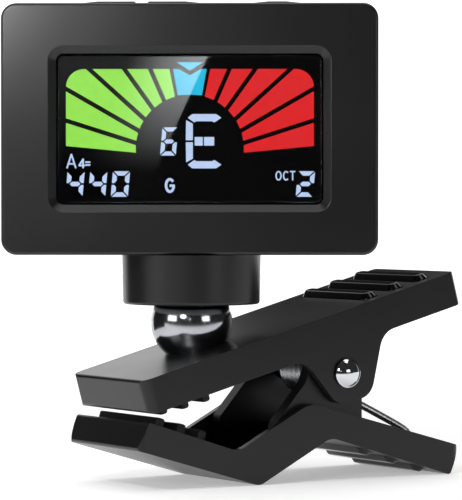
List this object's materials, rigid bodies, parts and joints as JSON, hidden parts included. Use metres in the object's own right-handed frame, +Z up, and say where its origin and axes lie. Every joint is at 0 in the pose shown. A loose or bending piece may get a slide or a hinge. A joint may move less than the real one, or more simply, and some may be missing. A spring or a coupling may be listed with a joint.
{
  "type": "clip on tuner",
  "caption": "Clip-on instrument tuner: a rectangular display head on a ball joint, carried by a sprung clip with ribbed rubber jaws and grip bars.",
  "frame": {"origin": "middle of the whole outline seen from above, on the surface that the clip stands on", "axes": "+X from the jaw tips towards the handles, +Y across the clip, away from the side that the display turns to, +Z up"},
  "size_m": [0.0712, 0.0408, 0.0723],
  "materials": {
    "shell_plastic": "fine matt moulded ABS, near black",
    "jaw_plastic": "fine matt moulded nylon, near black",
    "grip_gloss": "polished black plastic",
    "pad_rubber": "soft black rubber",
    "seal_rubber": "black silicone",
    "lens_glass": "clear polished window",
    "display": "black display glass with lit segments",
    "diffuser": "milky white plastic",
    "board": "green lacquered laminate",
    "black_nylon": "black moulded nylon",
    "brass": "bright stamped brass",
    "cell_steel": "bright nickel-plated steel",
    "plain_steel": "zinc-plated steel",
    "magnet_plate": "nickel-plated magnet",
    "gunmetal": "polished black chrome",
    "chrome": "polished chrome",
    "spring_steel": "bright plated spring wire"
  },
  "bodies": {
    "clip_lower": {"lower_jaw": "jaw_plastic", "lower_pad": "pad_rubber", "lower_grip_1": "grip_gloss", "lower_grip_2": "grip_gloss", "lower_grip_3": "grip_gloss", "hinge_pin": "chrome", "torsion_spring": "spring_steel"},
    "clip_upper": {"upper_jaw": "jaw_plastic", "upper_pad": "pad_rubber", "upper_grip_1": "grip_gloss", "upper_grip_2": "grip_gloss", "upper_grip_3": "grip_gloss", "ball_stud": "gunmetal", "stud_nut": "plain_steel"},
    "ball_seat": {"ball_liner": "diffuser"},
    "socket_ring": {"friction_ring": "seal_rubber"},
    "head": {"front_bezel": "shell_plastic", "rear_cover": "shell_plastic", "screen_lens": "lens_glass", "lcd_panel": "display", "backlight_panel": "diffuser", "zebra_connector": "seal_rubber", "circuit_board": "board", "piezo_disc": "brass", "switch_left": "black_nylon", "switch_middle": "black_nylon", "switch_right": "black_nylon", "battery_holder": "black_nylon", "coin_cell": "cell_steel", "battery_contact_minus": "brass", "battery_contact_plus": "brass", "socket_cup": "shell_plastic", "socket_magnet": "magnet_plate", "magnet_keeper": "plain_steel", "case_screw_1": "plain_steel", "case_screw_2": "plain_steel", "case_screw_3": "plain_steel", "case_screw_4": "plain_steel"},
    "key_left": {"button_left": "shell_plastic"},
    "key_middle": {"button_middle": "shell_plastic"},
    "key_right": {"button_right": "shell_plastic"},
    "cell_cap": {"battery_cap": "shell_plastic"}
  },
  "joints": [
    {"name": "jaw_hinge", "type": "hinge", "parent": "clip_lower", "child": "clip_upper", "pos_m": [0.01402, 0.00277, 0.01637], "axis": [0, 1, 0], "range_deg": [0, 28], "stiffness_Nm_per_rad": 0.35, "springref_deg": -25.78, "deforming": ["torsion_spring"]},
    {"name": "tilt_fore_aft", "type": "hinge", "parent": "clip_upper", "child": "ball_seat", "pos_m": [-0.0071, 0.00277, 0.02422], "axis": [0, 1, 0], "range_deg": [-35, 6]},
    {"name": "tilt_sideways", "type": "hinge", "parent": "ball_seat", "child": "socket_ring", "pos_m": [-0.0071, 0.00277, 0.02422], "axis": [1, 0, 0], "range_deg": [-12, 12]},
    {"name": "head_swivel", "type": "hinge", "parent": "socket_ring", "child": "head", "pos_m": [-0.0071, 0.00277, 0.02422], "axis": [0, 0, 1], "continuous": true},
    {"name": "left_button_press", "type": "slide", "parent": "head", "child": "key_left", "axis": [0, 0, -1], "range_m": [0, 0.00025], "stiffness_N_per_m": 800, "springref_m": -0.0008},
    {"name": "middle_button_press", "type": "slide", "parent": "head", "child": "key_middle", "axis": [0, 0, -1], "range_m": [0, 0.00025], "stiffness_N_per_m": 800, "springref_m": -0.0008},
    {"name": "right_button_press", "type": "slide", "parent": "head", "child": "key_right", "axis": [0, 0, -1], "range_m": [0, 0.00025], "stiffness_N_per_m": 800, "springref_m": -0.0008},
    {"name": "battery_cap_turn", "type": "hinge", "parent": "head", "child": "cell_cap", "pos_m": [-0.00154, 0.01132, 0.05172], "axis": [0.5446, 0.8387, 0], "range_deg": [0, 60]}
  ]
}
